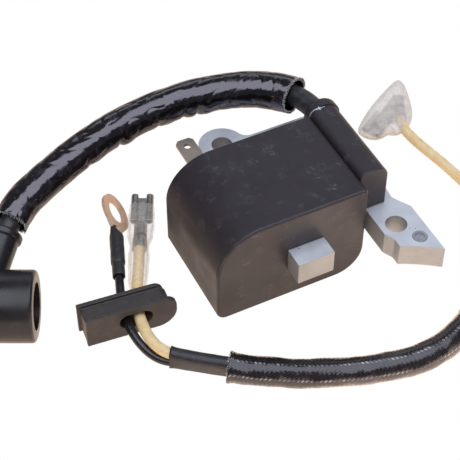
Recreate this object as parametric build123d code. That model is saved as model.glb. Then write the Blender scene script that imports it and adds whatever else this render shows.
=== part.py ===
from build123d import *
import math
import os

os.makedirs("parts", exist_ok=True)

# Frame: millimetres, +X to the right along the core, +Y to the back, +Z up.
# The origin is the axis of the foot's mounting hole, on the underside of the core.

# ---- driving dimensions ----
LAMINATION_COUNT = 13
LAMINATION_THICKNESS = 0.5
CORE_THICKNESS = LAMINATION_COUNT * LAMINATION_THICKNESS
MOUNT_BORE = 5.4
EAR_X, EAR_Y = -25.5, 43.3
EAR_RADIUS = 6.0
LEG_WIDTH = 9.6
LEG_X = -22.5
POLE_TIP_Y = -1.3
YOKE_WIDTH = 9.6
YOKE_BACK_Y = EAR_Y
FOOT_LEG_LEFT, FOOT_LEG_RIGHT = -4.2, 4.0
FOOT_RIGHT = 6.3
FLYWHEEL_RADIUS = 46.3
FLYWHEEL_CENTRE_Y = -48.5
RIVET_DIAMETER = 3.8
RIVET_PROUD = 0.15
RIVETS = ((3.0, -6.0), (-0.2, 38.6))

HOUSING_WIDTH = 40.0
HOUSING_DEPTH = 28.7
HOUSING_HEIGHT = 27.3
HOUSING_RIGHT = -6.0
HOUSING_LEFT = HOUSING_RIGHT - HOUSING_WIDTH
HOUSING_FRONT = 4.0
HOUSING_MIDDLE_Z = 3.65
HOUSING_BOTTOM = HOUSING_MIDDLE_Z - HOUSING_HEIGHT / 2
HOUSING_TOP = HOUSING_MIDDLE_Z + HOUSING_HEIGHT / 2
FLOOR_Z = -10.0
WALL = 2.0
CORNER_TOP_LEFT = 12.0
CORNER_BOTTOM_LEFT = 2.5
CORNER_BOTTOM_RIGHT = 7.5
CORNER_TOP_RIGHT = 1.0
FACE_EDGE = 0.8
POTTING_RECESS = 1.2
LEG_GAP = 0.15

TOWER_WIDTH = 7.8
TOWER_LEFT = -6.5
TOWER_FRONT_SETBACK = 3.5
LEAD_BELOW_HOUSING_TOP = 2.3
LEAD_X, LEAD_Z = -2.3, HOUSING_TOP - LEAD_BELOW_HOUSING_TOP
TOWER_ABOVE_LEAD = 4.1
TOWER_TOP = LEAD_Z + TOWER_ABOVE_LEAD
TOWER_ROUND_RIGHT, TOWER_ROUND_LEFT = 3.2, 1.6
COLLAR_DIAMETER = 9.0
COLLAR_LENGTH = 3.3
COLLAR_ROUND = 2.0

LEAD_DIAMETER = 5.5
LEAD_SOCKET_BOTTOM_Y = 28.0
LEAD_SLEEVE_OUTER, LEAD_SLEEVE_INNER = 8.8, 7.4
TOWER_EXIT_BEND = 10.0
SPIKE_DIAMETER = 1.2
SPIKE_LENGTH = 7.0

TAB_WIDTH, TAB_THICKNESS = 4.8, 0.8
TAB_X, TAB_Z = -34.4, 8.0
TAB_TIP_Y = 47.6
TAB_SHOULDER_Y = 39.4
TAB_SHOULDER = 0.5
TAB_HOLE = 1.8
TAB_HOLE_FROM_TIP = 2.7

COIL_FRONT, COIL_BACK = 8.2, 30.0
BOBBIN_WALL = 0.8
PRIMARY_SHARE = 20 / 41
COIL_TO_CUP = 1.5
BOBBIN_PLAY = 0.2
SECONDARY_RIBS = 6
RIB_EXTRA = 0.4
SECONDARY_SETBACK = 1.3

BOARD_X = -37.5
BOARD_THICKNESS = 1.6
BOARD_FRONT, BOARD_BACK = 6.8, 29.5
BOARD_BOTTOM = HOUSING_BOTTOM + WALL + 2.0
BOARD_TOP = HOUSING_TOP - WALL - 3.3

BOOT_OUTER = 17.4
BOOT_BORE = 11.5
BOOT_BORE_DEPTH = 12.5
BOOT_CHAMBER = 7.4
BOOT_CHAMBER_DEPTH = 21.5
BOOT_LENGTH = 26.0
BOOT_NECK_FROM_MOUTH = 14.2
NECK_OUTER, NECK_BEAD, NECK_BEAD_LENGTH = 8.8, 9.8, 2.2
NECK_LENGTH = 20.0
NECK_BORE = LEAD_DIAMETER + 0.1
BOOT_MOUTH = Vector(-85.3, 20.9, FLOOR_Z + BOOT_OUTER / 2)
BOOT_AXIS = Vector(0.896, -0.445, 0).normalized()
NECK_AXIS = Vector(0.6415, 0.7068, 0.30).normalized()
SPRING_WIRE = 0.9
SPRING_PITCH = 2.0
SPRING_TURNS = 4

CREAM_WIRE, BLACK_WIRE = 2.8, 2.2
HARNESS_SLEEVE_OUTER, HARNESS_SLEEVE_INNER = 7.1, 6.1
CREAM_Z, BLACK_Z, SLEEVE_Z = -5.25, -7.85, -6.45
SHRINK_WALL = 0.35

GROMMET_LENGTH, GROMMET_HEIGHT = 22.5, 9.0
GROMMET_FRONT_FLANGE, GROMMET_CHANNEL, GROMMET_BACK_FLANGE = 1.3, 3.8, 1.1
GROMMET_CHANNEL_DEPTH = 0.7
GROMMET_TURN = -6.0
GROMMET_PLACE = (-77.0, 10.8, FLOOR_Z)
GROMMET_HOLE_LENGTH, GROMMET_HOLE_HEIGHT = 8.2, 4.4
GROMMET_HOLE_X, GROMMET_HOLE_Z = 12.3, 5.0

RING_OUTER, RING_HOLE, RING_PLATE = 10.4, 6.0, 0.8
RING_ROLL = 57.0
STRIP = 0.35
RECEPTACLE_WIDTH, CURL_DIAMETER = 5.8, 2.0
SWITCH_BODY_START, SWITCH_BODY = 10.2, 8.9
FLAG_BODY = 7.5
SLEEVE_FILM = 0.35
SWITCH_SLEEVE_ROUND = 5.2
SWITCH_SLEEVE_WIDTH = 6.6
SHRINK_BEND, SLEEVE_MOUTH_BEND = 8.5, 40.0
FLAG_SLEEVE_HEIGHT = 4.7


def save(name, *solids):
    export_step(Compound(label=name, children=list(solids)), f"parts/{name}.step")


def box(x0, x1, y0, y1, z0, z1):
    return Pos((x0 + x1) / 2, (y0 + y1) / 2, (z0 + z1) / 2) * Box(x1 - x0, y1 - y0, z1 - z0)


def rod(start, direction, diameter, length):
    return extrude(Plane(origin=start, z_dir=direction) * Circle(diameter / 2), length)


def solids_of(shape):
    return list(shape.solids())


# ---- paths of the leads ----
def bend_radii(points, tightest=()):
    """Radius at each inner corner, tangent at 0.45 of the shorter run beside it.

    tightest gives (corner, largest radius) for the corners that are bent more tightly.
    """
    radii = []
    for a, b, c in zip(points, points[1:], points[2:]):
        arriving, leaving = Vector(b) - Vector(a), Vector(c) - Vector(b)
        turn = math.radians(arriving.get_angle(leaving))
        radii.append(0.45 * min(arriving.length, leaving.length) / math.tan(turn / 2))
    for corner, largest in tightest:
        radii[corner] = min(radii[corner], largest)
    return radii


def cord_path(points, radii):
    return FilletPolyline(*[Vector(p) for p in points], radius=radii)


def swept(path, diameter):
    return sweep(Plane(origin=path @ 0, z_dir=path % 0) * Circle(diameter / 2), path=path)


# ---- core ----
def lamination_outline():
    back, inner = YOKE_BACK_Y, YOKE_BACK_Y - YOKE_WIDTH
    left, right = LEG_X - LEG_WIDTH / 2, LEG_X + LEG_WIDTH / 2
    pole_left, pole_right = -2.9, FOOT_RIGHT - 0.1

    def pole_y(x):
        return FLYWHEEL_CENTRE_Y + math.sqrt(FLYWHEEL_RADIUS**2 - (x - LEG_X) ** 2)

    middle = (pole_left + pole_right) / 2
    pole = ThreePointArc(
        (pole_left, pole_y(pole_left)), (middle, pole_y(middle)), (pole_right, pole_y(pole_right))
    )
    rim = Polyline(
        (pole_right, pole_y(pole_right)),
        (FOOT_RIGHT, 3.5),
        (FOOT_LEG_RIGHT - 0.4, 8.1),
        (FOOT_LEG_RIGHT, 12.0),
        (FOOT_LEG_RIGHT, back - 2.0),
        (FOOT_LEG_RIGHT - 2.0, back),
        (left, back),
        (left, POLE_TIP_Y),
        (right, POLE_TIP_Y),
        (right, inner),
        (FOOT_LEG_LEFT, inner),
        (FOOT_LEG_LEFT, -1.6),
        (pole_left, -4.2),
        (pole_left, pole_y(pole_left)),
    )
    face = make_face([pole, rim])
    ear = Pos(EAR_X, EAR_Y) * Circle(EAR_RADIUS)
    cheek = Pos(EAR_X - EAR_RADIUS / 2, EAR_Y - 3.0) * Rectangle(EAR_RADIUS, 6.0)
    face += ear + cheek
    notch = face.vertices().filter_by(lambda v: abs(v.Y - back) < 0.01 and -21 < v.X < -18)
    face = fillet(notch, 3.0)
    for x, y, size in ((0, 0, MOUNT_BORE), (EAR_X, EAR_Y, MOUNT_BORE)):
        face -= Pos(x, y) * Circle(size / 2)
    for x, y in RIVETS:
        face -= Pos(x, y) * Circle(RIVET_DIAMETER / 2)
    return face


outline = lamination_outline()
laminations = [
    Pos(0, 0, i * LAMINATION_THICKNESS) * extrude(outline, LAMINATION_THICKNESS)
    for i in range(LAMINATION_COUNT)
]
save("core_laminations", *[s for lam in laminations for s in solids_of(lam)])

rivets = []
for x, y in RIVETS:
    shank = rod((x, y, -RIVET_PROUD), (0, 0, 1), RIVET_DIAMETER, CORE_THICKNESS + 2 * RIVET_PROUD)
    shank = chamfer(shank.edges().filter_by(GeomType.CIRCLE), RIVET_PROUD * 0.9)
    dimple = rod((x, y, CORE_THICKNESS + RIVET_PROUD - 0.25), (0, 0, 1), RIVET_DIAMETER * 0.6, 1.0)
    rivets += solids_of(shank - dimple)
save("core_rivets", *rivets)

# ---- housing ----
housing_back = HOUSING_FRONT + HOUSING_DEPTH
leg_z = CORE_THICKNESS / 2


def housing_block(inset, y_front, y_back):
    """Rounded block inside the housing's outline, drawn in from it by inset."""
    x0, x1 = HOUSING_LEFT + inset, HOUSING_RIGHT - inset
    z0, z1 = HOUSING_BOTTOM + inset, HOUSING_TOP - inset
    block = box(x0, x1, y_front, y_back, z0, z1)
    for x, z, radius in (
        (x0, z1, CORNER_TOP_LEFT),
        (x0, z0, CORNER_BOTTOM_LEFT),
        (x1, z0, CORNER_BOTTOM_RIGHT),
        (x1, z1, CORNER_TOP_RIGHT),
    ):
        corner = [
            e for e in block.edges().filter_by(Axis.Y)
            if abs(e.center().X - x) < 0.01 and abs(e.center().Z - z) < 0.01
        ]
        block = fillet(corner, max(radius - inset, 0.4))
    return block


def front_rim(block, y_front):
    return [e for e in block.edges() if abs(e.center().Y - y_front) < 0.01 and e.length > 0.5]


shell = housing_block(0, HOUSING_FRONT, housing_back)
shell = fillet(front_rim(shell, HOUSING_FRONT), FACE_EDGE)
cavity = housing_block(WALL, HOUSING_FRONT + WALL + 0.2, housing_back)

tower_front = HOUSING_FRONT + TOWER_FRONT_SETBACK
tower = box(TOWER_LEFT, TOWER_LEFT + TOWER_WIDTH, tower_front, housing_back, CORE_THICKNESS, TOWER_TOP)
top_edges = [e for e in tower.edges().filter_by(Axis.Y) if abs(e.center().Z - TOWER_TOP) < 0.01]
tower = fillet([max(top_edges, key=lambda e: e.center().X)], TOWER_ROUND_RIGHT)
top_edges = [e for e in tower.edges().filter_by(Axis.Y) if abs(e.center().Z - TOWER_TOP) < 0.01]
tower = fillet([min(top_edges, key=lambda e: e.center().X)], TOWER_ROUND_LEFT)
tower = fillet(front_rim(tower, tower_front), 0.4)

collar = rod((LEAD_X, housing_back, LEAD_Z), (0, 1, 0), COLLAR_DIAMETER, COLLAR_LENGTH)
collar = fillet([max(collar.edges(), key=lambda e: e.center().Y)], COLLAR_ROUND - 0.4)
lead_exit_y = housing_back + COLLAR_LENGTH

half_leg = LEG_WIDTH / 2 + LEG_GAP
leg_window = box(
    LEG_X - half_leg, LEG_X + half_leg, HOUSING_FRONT - 1, HOUSING_FRONT + 2 * WALL,
    -LEG_GAP, CORE_THICKNESS + LEG_GAP,
)
lead_socket = rod((LEAD_X, LEAD_SOCKET_BOTTOM_Y, LEAD_Z), (0, 1, 0), LEAD_DIAMETER, 20)

spike_y = LEAD_SOCKET_BOTTOM_Y + SPIKE_DIAMETER
spike_x = HOUSING_RIGHT - WALL - 1.5
spike = rod((LEAD_X, spike_y - SPIKE_DIAMETER / 2, LEAD_Z), (0, 1, 0), SPIKE_DIAMETER, SPIKE_LENGTH)
spike += rod((spike_x, spike_y, LEAD_Z), (1, 0, 0), SPIKE_DIAMETER, LEAD_X - spike_x)
spike += rod((spike_x, spike_y, LEAD_Z), (0, 0, -1), SPIKE_DIAMETER, 5.0)
spike += Pos(spike_x, spike_y, LEAD_Z) * Sphere(SPIKE_DIAMETER / 2)
save("ht_spike", *solids_of(spike))

housing = shell + tower + collar - cavity - leg_window - lead_socket - spike
save("housing_shell", *solids_of(housing))


# ---- coil, wound round the centre leg ----
def ring_block(half_x, half_z, y0, y1, opening):
    outer = box(LEG_X - half_x, LEG_X + half_x, y0, y1, leg_z - half_z, leg_z + half_z)
    outer = fillet(outer.edges().filter_by(Axis.Y), min(1.5, half_z / 3))
    gap_x, gap_z = opening
    return outer - box(LEG_X - gap_x, LEG_X + gap_x, y0 - 1, y1 + 1, leg_z - gap_z, leg_z + gap_z)


def sizes(offset):
    return LEG_WIDTH / 2 + offset, CORE_THICKNESS / 2 + offset


cup_room = min(leg_z - HOUSING_BOTTOM, HOUSING_TOP - leg_z) - WALL - CORE_THICKNESS / 2
winding_room = cup_room - COIL_TO_CUP - RIB_EXTRA - 2 * (BOBBIN_WALL + BOBBIN_PLAY)
bobbin_in = BOBBIN_PLAY
primary_in = bobbin_in + BOBBIN_WALL
primary_out = primary_in + winding_room * PRIMARY_SHARE
secondary_in = primary_out + BOBBIN_PLAY
secondary_wire_in = secondary_in + BOBBIN_WALL
secondary_wire_out = secondary_wire_in + winding_room * (1 - PRIMARY_SHARE)
rib_out = secondary_wire_out + RIB_EXTRA

primary_bobbin = ring_block(*sizes(primary_in), COIL_FRONT, COIL_BACK, sizes(bobbin_in))
for y in (COIL_FRONT, COIL_BACK - BOBBIN_WALL):
    primary_bobbin += ring_block(*sizes(primary_out), y, y + BOBBIN_WALL, sizes(bobbin_in))
save("primary_bobbin", *solids_of(primary_bobbin))

primary_winding = ring_block(
    *sizes(primary_out), COIL_FRONT + BOBBIN_WALL, COIL_BACK - BOBBIN_WALL, sizes(0)
)
save("primary_winding", *solids_of(primary_winding - primary_bobbin - box(
    LEG_X - sizes(bobbin_in)[0], LEG_X + sizes(bobbin_in)[0], COIL_FRONT, COIL_BACK,
    leg_z - sizes(bobbin_in)[1], leg_z + sizes(bobbin_in)[1])))

secondary_front, secondary_back = COIL_FRONT + SECONDARY_SETBACK, COIL_BACK - SECONDARY_SETBACK
rib_pitch = (secondary_back - secondary_front - BOBBIN_WALL) / (SECONDARY_RIBS - 1)
secondary_bobbin = ring_block(
    *sizes(secondary_wire_in), secondary_front, secondary_back, sizes(secondary_in)
)
for i in range(SECONDARY_RIBS):
    y = secondary_front + i * rib_pitch
    secondary_bobbin += ring_block(*sizes(rib_out), y, y + BOBBIN_WALL, sizes(secondary_in))
save("secondary_bobbin", *solids_of(secondary_bobbin))

secondary_winding = []
for i in range(SECONDARY_RIBS - 1):
    y = secondary_front + i * rib_pitch + BOBBIN_WALL
    section = ring_block(
        *sizes(secondary_wire_out), y, y + rib_pitch - BOBBIN_WALL, sizes(secondary_in)
    )
    secondary_winding += solids_of(section - secondary_bobbin)
save("secondary_winding", *secondary_winding)

# ---- electronics beside the coil ----
board_left, board_right = BOARD_X - BOARD_THICKNESS / 2, BOARD_X + BOARD_THICKNESS / 2
board = box(board_left, board_right, BOARD_FRONT, BOARD_BACK, BOARD_BOTTOM, BOARD_TOP)
save("circuit_board", *solids_of(board))

transistor = box(board_left - 3.4, board_left - 0.4, 10.0, 20.0, BOARD_BOTTOM + 1.5, BOARD_BOTTOM + 10.0)
transistor = chamfer(transistor.edges().filter_by(Axis.Z), 0.5)
heat_tab = box(board_left - 0.4, board_left, 9.0, 21.0, BOARD_BOTTOM + 0.5, BOARD_BOTTOM + 13.0)
save("power_transistor", *solids_of(transistor), *solids_of(heat_tab))

resistors = []
for height in (2.0, 5.5, 9.0):
    body = rod((board_right + 1.0, 10.0, BOARD_BOTTOM + height), (0, 1, 0), 2.0, 6.0)
    body = fillet(body.edges().filter_by(GeomType.CIRCLE), 0.5)
    resistors += solids_of(body)
save("board_resistors", *resistors)

capacitor = box(board_left - 2.6, board_left, 23.0, 28.0, BOARD_BOTTOM + 2.0, BOARD_BOTTOM + 7.0)
capacitor = fillet(capacitor.edges(), 0.6)
save("board_capacitor", *solids_of(capacitor))

trigger_diode = rod((board_right + 0.8, 19.0, BOARD_BOTTOM + 4.0), (0, 1, 0), 1.6, 4.0)
save("trigger_diode", *solids_of(trigger_diode))

leg_left = LEG_X - LEG_WIDTH / 2
ground_clip = box(board_right, leg_left, 7.0, 7.4, 2.0, 5.0)
save("ground_clip", *solids_of(ground_clip))

# ---- stop-switch tab ----
tab_left, tab_right = TAB_X - TAB_WIDTH / 2, TAB_X + TAB_WIDTH / 2
tab_low, tab_high = TAB_Z - TAB_THICKNESS / 2, TAB_Z + TAB_THICKNESS / 2
tab_root_y = COIL_BACK - 0.4
blade = box(tab_left, tab_right, tab_root_y, TAB_TIP_Y, tab_low, tab_high)
tip_corners = [e for e in blade.edges().filter_by(Axis.Z) if e.center().Y > TAB_TIP_Y - 0.01]
blade = chamfer(tip_corners, 0.9)
blade += box(
    tab_left - TAB_SHOULDER, tab_right, tab_root_y, TAB_SHOULDER_Y, tab_low, tab_high
)
blade += box(board_right, board_right + 1.6, 22.0, tab_root_y + 1, tab_low, tab_high)
blade -= rod((TAB_X, TAB_TIP_Y - TAB_HOLE_FROM_TIP, tab_low - 1), (0, 0, 1), TAB_HOLE, 3)
save("kill_tab", *solids_of(blade))

# ---- potting: fills the cup round everything in it ----
potting = housing_block(WALL, HOUSING_FRONT + WALL + 0.2, housing_back - POTTING_RECESS)
centre_leg = box(
    leg_left, LEG_X + LEG_WIDTH / 2, HOUSING_FRONT, housing_back, 0, CORE_THICKNESS
)
for embedded in (
    centre_leg, spike, board, transistor, heat_tab, capacitor, trigger_diode, ground_clip, blade,
    *resistors,
):
    potting -= embedded
for block in (
    ring_block(*sizes(primary_out), COIL_FRONT, COIL_BACK, (1, 1)),
    box(LEG_X - 2, LEG_X + 2, COIL_FRONT, COIL_BACK, leg_z - 2, leg_z + 2),
    ring_block(*sizes(secondary_in), secondary_front, secondary_back, (1, 1)),
    secondary_bobbin,
    *secondary_winding,
):
    potting -= block
save("potting_resin", *solids_of(potting))

# ---- high-tension lead ----
boot_crossing = BOOT_MOUTH - BOOT_AXIS * BOOT_NECK_FROM_MOUTH


def on_neck(distance):
    return boot_crossing + NECK_AXIS * distance


lead_points = [
    (LEAD_X, LEAD_SOCKET_BOTTOM_Y, LEAD_Z),
    (LEAD_X, 40.5, LEAD_Z),
    (-9.0, 49.2, 14.2),
    (-19.0, 54.6, 13.4),
    (-30.5, 57.4, 12.4),
    (-44.0, 57.6, 11.2),
    (-58.0, 54.8, 9.8),
    (-71.0, 50.0, 8.0),
    tuple(on_neck(25.0)),
    tuple(on_neck(10.0)),
]
lead_radii = bend_radii(lead_points, [(0, TOWER_EXIT_BEND)])
lead_path = cord_path(lead_points, lead_radii)
ht_lead = swept(lead_path, LEAD_DIAMETER)
save("ht_lead", *solids_of(ht_lead))

sleeve_edges = lead_path.edges()[2:-2]
sleeve_path = Wire(sleeve_edges)
lead_sleeve = swept(sleeve_path, LEAD_SLEEVE_OUTER) - swept(sleeve_path, LEAD_SLEEVE_INNER)
save("ht_lead_sleeve", *solids_of(lead_sleeve))

# ---- plug boot ----
barrel = rod(BOOT_MOUTH - BOOT_AXIS * BOOT_LENGTH, BOOT_AXIS, BOOT_OUTER, BOOT_LENGTH)
barrel_ends = barrel.edges().filter_by(GeomType.CIRCLE)
closed_end = min(barrel_ends, key=lambda e: (e.center() - BOOT_MOUTH).dot(BOOT_AXIS))
barrel = fillet([closed_end], 4.0)
mouth = max(
    barrel.edges().filter_by(GeomType.CIRCLE), key=lambda e: (e.center() - BOOT_MOUTH).dot(BOOT_AXIS)
)
barrel = fillet([mouth], 0.9)
neck = rod(boot_crossing, NECK_AXIS, NECK_OUTER, NECK_LENGTH)
bead = rod(on_neck(NECK_LENGTH - NECK_BEAD_LENGTH), NECK_AXIS, NECK_BEAD, NECK_BEAD_LENGTH)
bead = fillet(bead.edges().filter_by(GeomType.CIRCLE), 0.7)
boot = barrel + neck + bead
boot -= rod(BOOT_MOUTH + BOOT_AXIS, -BOOT_AXIS, BOOT_BORE, BOOT_BORE_DEPTH + 1)
boot -= rod(BOOT_MOUTH, -BOOT_AXIS, BOOT_CHAMBER, BOOT_CHAMBER_DEPTH)
boot -= rod(boot_crossing, NECK_AXIS, NECK_BORE, NECK_LENGTH + 1)
save("plug_boot", *solids_of(boot))

spring_start = BOOT_MOUTH - BOOT_AXIS * (BOOT_CHAMBER_DEPTH - SPRING_WIRE / 2)
spring_radius = (BOOT_CHAMBER - SPRING_WIRE) / 2
coil = Helix(
    pitch=SPRING_PITCH, height=SPRING_PITCH * SPRING_TURNS, radius=spring_radius,
    center=spring_start, direction=BOOT_AXIS,
)
spring = sweep(
    Plane(origin=coil @ 0, z_dir=coil % 0) * Circle(SPRING_WIRE / 2), path=coil, is_frenet=True
)
save("plug_spring", *solids_of(spring))

# ---- loose harness ----
shared_route = [
    (-59.8, -5.0), (-49.5, -13.0), (-37.5, -20.8), (-24.5, -26.4), (-11.0, -30.0), (2.0, -28.0),
    (13.5, -21.2),
]


def at_height(route, z):
    return [(x, y, z) for x, y in route]


def along(start, axis, distance):
    return tuple(Vector(start) + axis * distance)


switch_axis = Vector(0.443, 0.897, 0).normalized()
switch_origin = (-54.3, 31.7, FLOOR_Z + SWITCH_SLEEVE_ROUND / 2)
flag_axis = Vector(0.48, 0.877, 0).normalized()
flag_origin = (28.9, 43.8, -7.6)
ring_axis = Vector(0.354, 0.935, 0).normalized()
ring_centre = (-55.7, 43.5, -4.7)
ground_axis = Vector(0.95, -0.31, 0).normalized()
ground_centre = (43.3, -25.6, -8.0)

cream_points = [
    along(switch_origin, switch_axis, 1.5), along(switch_origin, switch_axis, -10.0),
    (-62.9, 14.4, -5.3), (-64.6, 5.6, -5.1), (-63.6, -1.0, -5.2),
    *at_height(shared_route, CREAM_Z),
    (22.5, -11.0, -6.6), (30.4, 0.5, -8.4), (32.4, 12.0, -8.6), (31.0, 24.0, -8.5),
    (28.6, 34.0, -8.2), along(flag_origin, flag_axis, -2.7), along(flag_origin, flag_axis, 3.0),
]
cream_radii = bend_radii(cream_points, [(4, SHRINK_BEND), (5, SLEEVE_MOUTH_BEND)])
cream_path = cord_path(cream_points, cream_radii)
cream_wire = swept(cream_path, CREAM_WIRE)
save("cream_wire", *solids_of(cream_wire))

black_points = [
    along(ring_centre, ring_axis, -7.0), along(ring_centre, ring_axis, -24.0),
    (-66.4, 14.4, -5.4), (-67.2, 6.0, -6.4), (-64.8, -1.2, -7.9),
    *at_height(shared_route, BLACK_Z),
    along(ground_centre, ground_axis, -24.0), along(ground_centre, ground_axis, -7.0),
]
black_radii = bend_radii(black_points, [(4, SHRINK_BEND), (5, SLEEVE_MOUTH_BEND)])
black_path = cord_path(black_points, black_radii)
black_wire = swept(black_path, BLACK_WIRE)
save("black_wire", *solids_of(black_wire))


def part_way(a, b, distance):
    return along(a, (Vector(b) - Vector(a)).normalized(), distance)


route = at_height(shared_route, SLEEVE_Z)
sleeve_route = [part_way(route[1], route[0], 2.0), *route[1:6], part_way(route[6], route[5], 5.0)]
sleeve_radii = bend_radii(route)[:5]
sleeve_radii[0] = SLEEVE_MOUTH_BEND
harness_path = cord_path(sleeve_route, sleeve_radii)
harness_sleeve = swept(harness_path, HARNESS_SLEEVE_OUTER) - swept(
    harness_path, HARNESS_SLEEVE_INNER
)
save("harness_sleeve", *solids_of(harness_sleeve))

shrink_start = Vector(part_way(route[0], route[1], 2.7))
shrink_end = Vector(part_way(route[1], route[0], 1.0))
stack = CREAM_Z - BLACK_Z + (CREAM_WIRE + BLACK_WIRE) / 2 + 2 * SHRINK_WALL
middle_z = (CREAM_Z + CREAM_WIRE / 2 + BLACK_Z - BLACK_WIRE / 2) / 2
shrink_plane = Plane(
    origin=(shrink_start.X, shrink_start.Y, middle_z), x_dir=(0, 0, 1),
    z_dir=shrink_end - shrink_start,
)
shrink = extrude(
    shrink_plane * SlotOverall(stack, CREAM_WIRE + 2 * SHRINK_WALL), (shrink_end - shrink_start).length
)
save("harness_shrink_tube", *solids_of(shrink - cream_wire - black_wire))


# ---- terminals ----
def tube(plane, outer, inner, x0, x1):
    """Tube along the plane's X axis."""
    face = Plane(origin=plane.from_local_coords((x0, 0, 0)), z_dir=plane.x_dir)
    return extrude(face * Circle(outer / 2), x1 - x0) - extrude(face * Circle(inner / 2), x1 - x0)


def ring_terminal(plane, wire):
    """Crimp ring: the eye round the plane's origin, the barrel along its -X."""
    lean, half_neck = RING_OUTER * 0.31, wire / 2 + 0.2
    neck = Polyline(
        (-lean, RING_OUTER * 0.39), (-RING_OUTER * 0.66, half_neck),
        (-RING_OUTER * 0.66, -half_neck), (-lean, -RING_OUTER * 0.39), close=True,
    )
    eye = Circle(RING_OUTER / 2) + make_face(neck) - Circle(RING_HOLE / 2)
    plate = extrude(plane * Pos(0, 0, -RING_PLATE / 2) * eye, RING_PLATE)
    return plate + tube(plane, wire + 0.9, wire, -11.5, -6.3)


def shrink_sleeve(plane, wire, x0, x1):
    return tube(plane, wire + 1.5, wire + 0.9, x0, x1) + tube(plane, wire + 1.0, wire, x0, -11.5)


roll = math.radians(RING_ROLL)
across = Vector(-ring_axis.Y, ring_axis.X, 0) * math.cos(roll) + Vector(0, 0, 1) * math.sin(roll)
ring_plane = Plane(origin=ring_centre, x_dir=ring_axis, z_dir=ring_axis.cross(across))
save("ring_terminal", *solids_of(ring_terminal(ring_plane, BLACK_WIRE)))
save("ring_shrink_sleeve", *solids_of(shrink_sleeve(ring_plane, BLACK_WIRE, -19.5, -6.9)))

ground_plane = Plane(origin=ground_centre, x_dir=ground_axis, z_dir=(0, 0, 1))
save("ground_ring_terminal", *solids_of(ring_terminal(ground_plane, BLACK_WIRE)))
save("ground_ring_sleeve", *solids_of(shrink_sleeve(ground_plane, BLACK_WIRE, -16.0, -6.9)))


def crimp(plane, wire, reach):
    """Insulation and conductor barrels on a strip, the wire arriving along the plane's X."""
    low = -wire / 2 - STRIP - 0.1
    strip = plane * box(0.5, reach, -1.2, 1.2, low, low + STRIP)
    return strip + tube(plane, wire + 1.0, wire, 0, 3.2) + tube(plane, wire + 0.6, wire - 1.2, 4.2, 8.0)


def receptacle(plane, length):
    """Flat female body with two rolled edges, the plane's origin under its rear end."""
    curl = CURL_DIAMETER / 2
    body = plane * box(0, length, -RECEPTACLE_WIDTH / 2 + curl, RECEPTACLE_WIDTH / 2 - curl, 0, STRIP)
    for side in (1, -1):
        y = side * (RECEPTACLE_WIDTH / 2 - curl)
        face = Circle(curl) - Circle(curl - STRIP)
        face -= Pos(-side * curl * 0.9, 0.1) * Rectangle(curl * 0.9, curl * 0.9)
        rolled = extrude(Plane(origin=(0, y, curl), x_dir=(0, 1, 0), z_dir=(1, 0, 0)) * face, length)
        body += plane * rolled
    return body


switch_plane = Plane(origin=switch_origin, x_dir=switch_axis, z_dir=(0, 0, 1))
strip_low = -CREAM_WIRE / 2 - STRIP - 0.1
switch_terminal = crimp(switch_plane, CREAM_WIRE, SWITCH_BODY_START + 1)
switch_terminal += receptacle(switch_plane * Pos(SWITCH_BODY_START, 0, strip_low), SWITCH_BODY)
save("switch_terminal", *solids_of(switch_terminal))


def flat_tube(plane, width, height, wall, x0, x1):
    face = Plane(origin=plane.from_local_coords((x0, 0, 0)), x_dir=plane.y_dir, z_dir=plane.x_dir)
    outer = extrude(face * RectangleRounded(width, height, 1.2), x1 - x0)
    inner = RectangleRounded(width - 2 * wall, height - 2 * wall, 1.2 - wall)
    return outer - extrude(face * inner, x1 - x0)


switch_sleeve = flat_tube(switch_plane, SWITCH_SLEEVE_WIDTH, 4.9, SLEEVE_FILM, -1.0, 10.8)
switch_sleeve += tube(
    switch_plane, SWITCH_SLEEVE_ROUND, SWITCH_SLEEVE_ROUND - 2 * SLEEVE_FILM, -11.5, -0.9
)
save("switch_terminal_sleeve", *solids_of(switch_sleeve))

flag_plane = Plane(origin=flag_origin, x_dir=flag_axis, z_dir=(0, 0, 1))
body_axis = Vector(-0.85, -0.525, 0).normalized()
flag_low = flag_origin[2] + strip_low
body_plane = Plane(origin=(26.0, 47.3, flag_low), x_dir=body_axis, z_dir=(0, 0, 1))
flag_terminal = crimp(flag_plane, CREAM_WIRE, 11.0)
flag_terminal += receptacle(body_plane, FLAG_BODY)
web = make_face(Polyline((24.6, 48.4), (27.2, 44.6), (29.6, 47.2), (34.6, 53.0), (33.4, 54.4), close=True))
flag_terminal += extrude(Pos(0, 0, flag_low) * web, STRIP)
save("flag_terminal", *solids_of(flag_terminal))

pocket = make_face(Polyline(
    (35.2, 57.6), (37.2, 56.0), (35.0, 49.0), (31.4, 41.6), (25.6, 38.6), (24.4, 40.9),
    (20.2, 39.6), (16.8, 42.0), (16.2, 45.8), close=True,
))
pocket_outer = extrude(Pos(0, 0, FLOOR_Z + 0.05) * pocket, FLAG_SLEEVE_HEIGHT)
pocket_inner = extrude(
    Pos(0, 0, FLOOR_Z + 0.05 + SLEEVE_FILM) * offset(pocket, -SLEEVE_FILM),
    FLAG_SLEEVE_HEIGHT - 2 * SLEEVE_FILM,
)
flag_sleeve = pocket_outer - pocket_inner
wire_way = rod(cream_points[-3], Vector(cream_points[-2]) - Vector(cream_points[-3]), CREAM_WIRE + 0.8, 8.0)
flag_sleeve -= wire_way
blade_way = body_plane * box(FLAG_BODY - 1, FLAG_BODY + 6, -2.6, 2.6, 0.2, 1.9)
flag_sleeve -= blade_way
save("flag_terminal_sleeve", *solids_of(flag_sleeve))


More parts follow.
